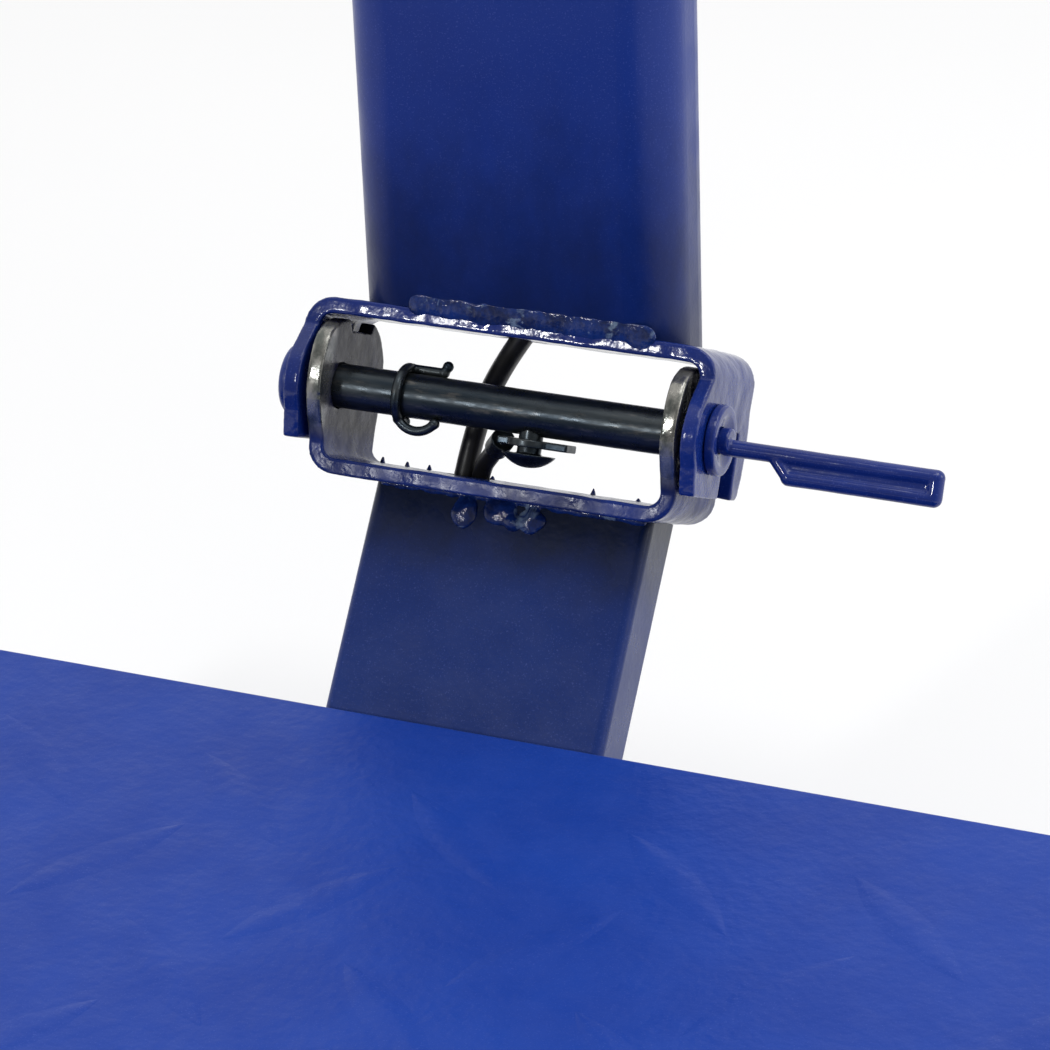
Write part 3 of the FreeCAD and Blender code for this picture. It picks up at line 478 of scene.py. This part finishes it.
def lower_beads():
    """Glossy runs on the arm's front face and the thin seam under the web."""
    work = bmesh.new()
    runs = ((-11.0, 4.6, 3.2, 4.2), (-2.2, 3.2, 4.4, 3.6), (6.0, 4.4, 3.6, 3.2), (1.6, 5.4, 2.6, 2.0))
    for x, down, wide, tall in runs:
        centre = arm_face + Vector((x * MM, 0, 0)) + ARM_DOWN * (down * MM)
        frame3 = Matrix(((1, 0, 0), tuple(arm_back), tuple(-ARM_DOWN))).transposed()
        scale = Matrix.Diagonal((wide * MM, 1.5 * MM, tall * MM))
        bmesh.ops.create_icosphere(work, subdivisions=4, radius=1.0,
                                   matrix=Matrix.Translation(centre) @ (frame3 @ scale).to_4x4())
    for i in range(60):
        x = -33.0 + 66.0 * i / 59
        place = arm_face + Vector((x * MM, 0, 0)) + arm_back * 0.0003 + ARM_DOWN * (0.4 * MM)
        radius = (1.05 + 0.35 * noise.noise(Vector((x * 0.4, 1.0, 2.0)))) * MM
        bmesh.ops.create_icosphere(work, subdivisions=2, radius=radius, matrix=Matrix.Translation(place))
    mesh = bpy.data.meshes.new("lower_beads")
    work.to_mesh(mesh)
    work.free()
    obj = new_object("lower_beads", mesh)
    roughened(remeshed(obj, 0.00028, 3), 0.0005, 300.0)
    finish_piece(obj, "lower_weld_beads", "base", looks["weld"])
    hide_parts("lower_weld")


def spatter():
    """Hardened drips standing on the lower web's rear edge."""
    work = bmesh.new()
    turn = Matrix((Vector((1, 0, 0)), across, rise)).transposed().to_4x4()
    drips = ((-39.2, 1.5), (-32.7, 1.2), (-26.9, 1.3), (-12.3, 1.5), (-10.4, 1.0), (15.5, 1.6), (27.0, 0.8))
    for x, height in drips:
        base = hinge_point(x, 24.4, -17.25 + height / 2)
        bmesh.ops.create_cone(work, cap_ends=True, segments=14, radius1=0.00075, radius2=0.00018,
                              depth=height * MM, matrix=Matrix.Translation(base) @ turn)
    mesh = bpy.data.meshes.new("spatter")
    work.to_mesh(mesh)
    work.free()
    obj = new_object("spatter", mesh)
    roughened(remeshed(obj, 0.00012, 2), 0.00012, 900.0)
    finish_piece(obj, "weld_spatter", "base", bracket_paint)


upper_bead()
lower_beads()
spatter()

# ---- leads ---------------------------------------------------------------------------------
LEAD_RADIUS = 0.0026
signal_points = ((-15.7, 19.7, -17.2), (-15.0, 19.8, -7.5), (-10.0, 15.0, 7.0), (-3.0, 10.8, 16.7))
signal = [hinge_point(*p) for p in signal_points]
cable = tube("signal_cable_at_hinge", signal, LEAD_RADIUS)
finish_piece(cable, "signal_cable_at_hinge", None, looks["cable_jacket"])
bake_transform(cable)
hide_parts("cable_hinge")

column_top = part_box("column_tube")[1].z
pivot = Vector(joints["head_tilt"]["pos_m"])
tilt = math.radians(15.0)


def head_point(x, v, h):
    """(x, depth, height) about the head's pivot, in millimetres, leaning back with the head."""
    turn = Matrix.Rotation(-tilt, 3, "X")
    return pivot + turn @ Vector((x * MM, v * MM, h * MM))


cap_x, cap_y = -0.0205, (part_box("column_tube")[0].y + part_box("column_tube")[1].y) / 2 - 0.008
head_route = [Vector((cap_x, cap_y, column_top + 0.008)), Vector((cap_x, cap_y, column_top + 0.020)),
              head_point(-20, 13.5, -73.5), head_point(-20, 13.5, -57)]
head_cable = tube("signal_cable_at_head", head_route, LEAD_RADIUS)
finish_piece(head_cable, "signal_cable_at_head", None, looks["cable_jacket"])
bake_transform(head_cable)
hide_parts("cable_head")

# ---- tread plate's raised bars ---------------------------------------------------------------
BAR_LENGTH, BAR_WIDTH, BAR_HEIGHT = 0.047, 0.0110, 0.00040
step_x, step_y = Vector((0.0524, -0.0006)), Vector((0.0139, -0.0680))
FALLING, RISING = math.radians(-43.0), math.radians(58.0)
first_falling = Vector((0.0203, hinge.y - 0.0865))
first_rising = Vector((0.0531, hinge.y - 0.1205))


def bar_patch(work, centre, angle, top):
    """One lens-shaped rise whose slope fades out at its outline."""
    across_count, along_count = 10, 30
    grid = []
    for i in range(along_count + 1):
        s = -1 + 2 * i / along_count
        s = math.sin(s * math.pi / 2)
        half = BAR_WIDTH / 2 * (1 - s * s) + 0.0001
        row = []
        for k in range(across_count + 1):
            t = -1 + 2 * k / across_count
            lift = BAR_HEIGHT * (1 - t * t) ** 1.6 * (1 - s ** 4) - 0.00002
            along_dir = Vector((math.cos(angle), math.sin(angle)))
            side_dir = Vector((-along_dir.y, along_dir.x))
            flat = centre + along_dir * (s * BAR_LENGTH / 2) + side_dir * (t * half)
            row.append(work.verts.new((flat.x, flat.y, top + lift)))
        grid.append(row)
    for i in range(along_count):
        for k in range(across_count):
            work.faces.new((grid[i][k], grid[i + 1][k], grid[i + 1][k + 1], grid[i][k + 1]))


work = bmesh.new()
for i in range(-8, 9):
    for j in range(-3, 9):
        for start, angle in ((first_falling, FALLING), (first_rising, RISING)):
            centre = start + step_x * i + step_y * j
            reach = BAR_LENGTH / 2 * 0.8 + 0.004
            inside_x = platform_low.x + reach < centre.x < platform_high.x - reach
            inside_y = platform_low.y + reach < centre.y < platform_high.y - reach
            if inside_x and inside_y:
                bar_patch(work, centre, angle, platform_top)
bars = bpy.data.meshes.new("tread_bars")
work.to_mesh(bars)
work.free()
finish_piece(new_object("tread_bars", bars), "tread_bars", "base", plate_paint)

# ---- floor, light, camera --------------------------------------------------------------------
floor_mesh = bpy.data.meshes.new("floor")
floor_mesh.from_pydata([(-6, -6, 0), (6, -6, 0), (6, 6, 0), (-6, 6, 0)], [], [(0, 1, 2, 3)])
floor = new_object("floor", floor_mesh)
floor_net = Net("floor_pale")
floor_net.set(Base_Color=floor_net.mix(floor_net.noise(3.0, 2.0), (0.90, 0.90, 0.905), (0.93, 0.93, 0.93)))
floor_net.set(Roughness=0.9)
floor_mesh.materials.append(floor_net.material)

world = bpy.data.worlds.new("studio")
world.use_nodes = True
bpy.context.scene.world = world
world_nodes, world_links = world.node_tree.nodes, world.node_tree.links
background = world_nodes["Background"]
direction = world_nodes.new("ShaderNodeTexCoord").outputs["Generated"]
split = world_nodes.new("ShaderNodeSeparateXYZ")
world_links.new(direction, split.inputs[0])
front = world_nodes.new("ShaderNodeMapRange")
front.interpolation_type = "SMOOTHSTEP"
world_links.new(split.outputs["Y"], front.inputs["Value"])
for key, v in (("From Min", -0.9), ("From Max", 0.1), ("To Min", 0.24), ("To Max", 0.95)):
    front.inputs[key].default_value = v
world_links.new(front.outputs["Result"], background.inputs["Strength"])
background.inputs["Color"].default_value = (1.0, 1.0, 1.0, 1.0)


def soft_light(name, place, target, size, power):
    lamp = bpy.data.lights.new(name, "AREA")
    lamp.shape, lamp.size, lamp.energy = "SQUARE", size, power
    obj = new_object(name, lamp)
    obj.location = place
    obj.rotation_euler = (Vector(target) - Vector(place)).to_track_quat("-Z", "Y").to_euler()


soft_light("top_softbox", (0.3, 0.2, 2.2), hinge, 1.4, 16.0)
soft_light("right_softbox", (1.8, 0.6, 1.0), hinge, 0.9, 5.0)
soft_light("glint", hinge + Vector((-0.42, -1.01, 0.49)), hinge, 0.09, 2.4)

camera = bpy.data.cameras.new("camera")
camera.lens, camera.sensor_width = 135.0, 36.0
camera.clip_start = 0.01
shot = new_object("camera", camera)
right = Vector((0.9267, 0.3741, -0.0345))
up = Vector((-0.1446, 0.4399, 0.8864))
back = Vector((0.3467, -0.8165, 0.4617))
turn = Matrix((right, up, back)).transposed()
shot.matrix_world = Matrix.Translation(hinge + Vector((0.3264, -0.7603, 0.4001))) @ turn.to_4x4()
bpy.context.scene.camera = shot
bpy.context.scene.view_settings.view_transform = "Standard"
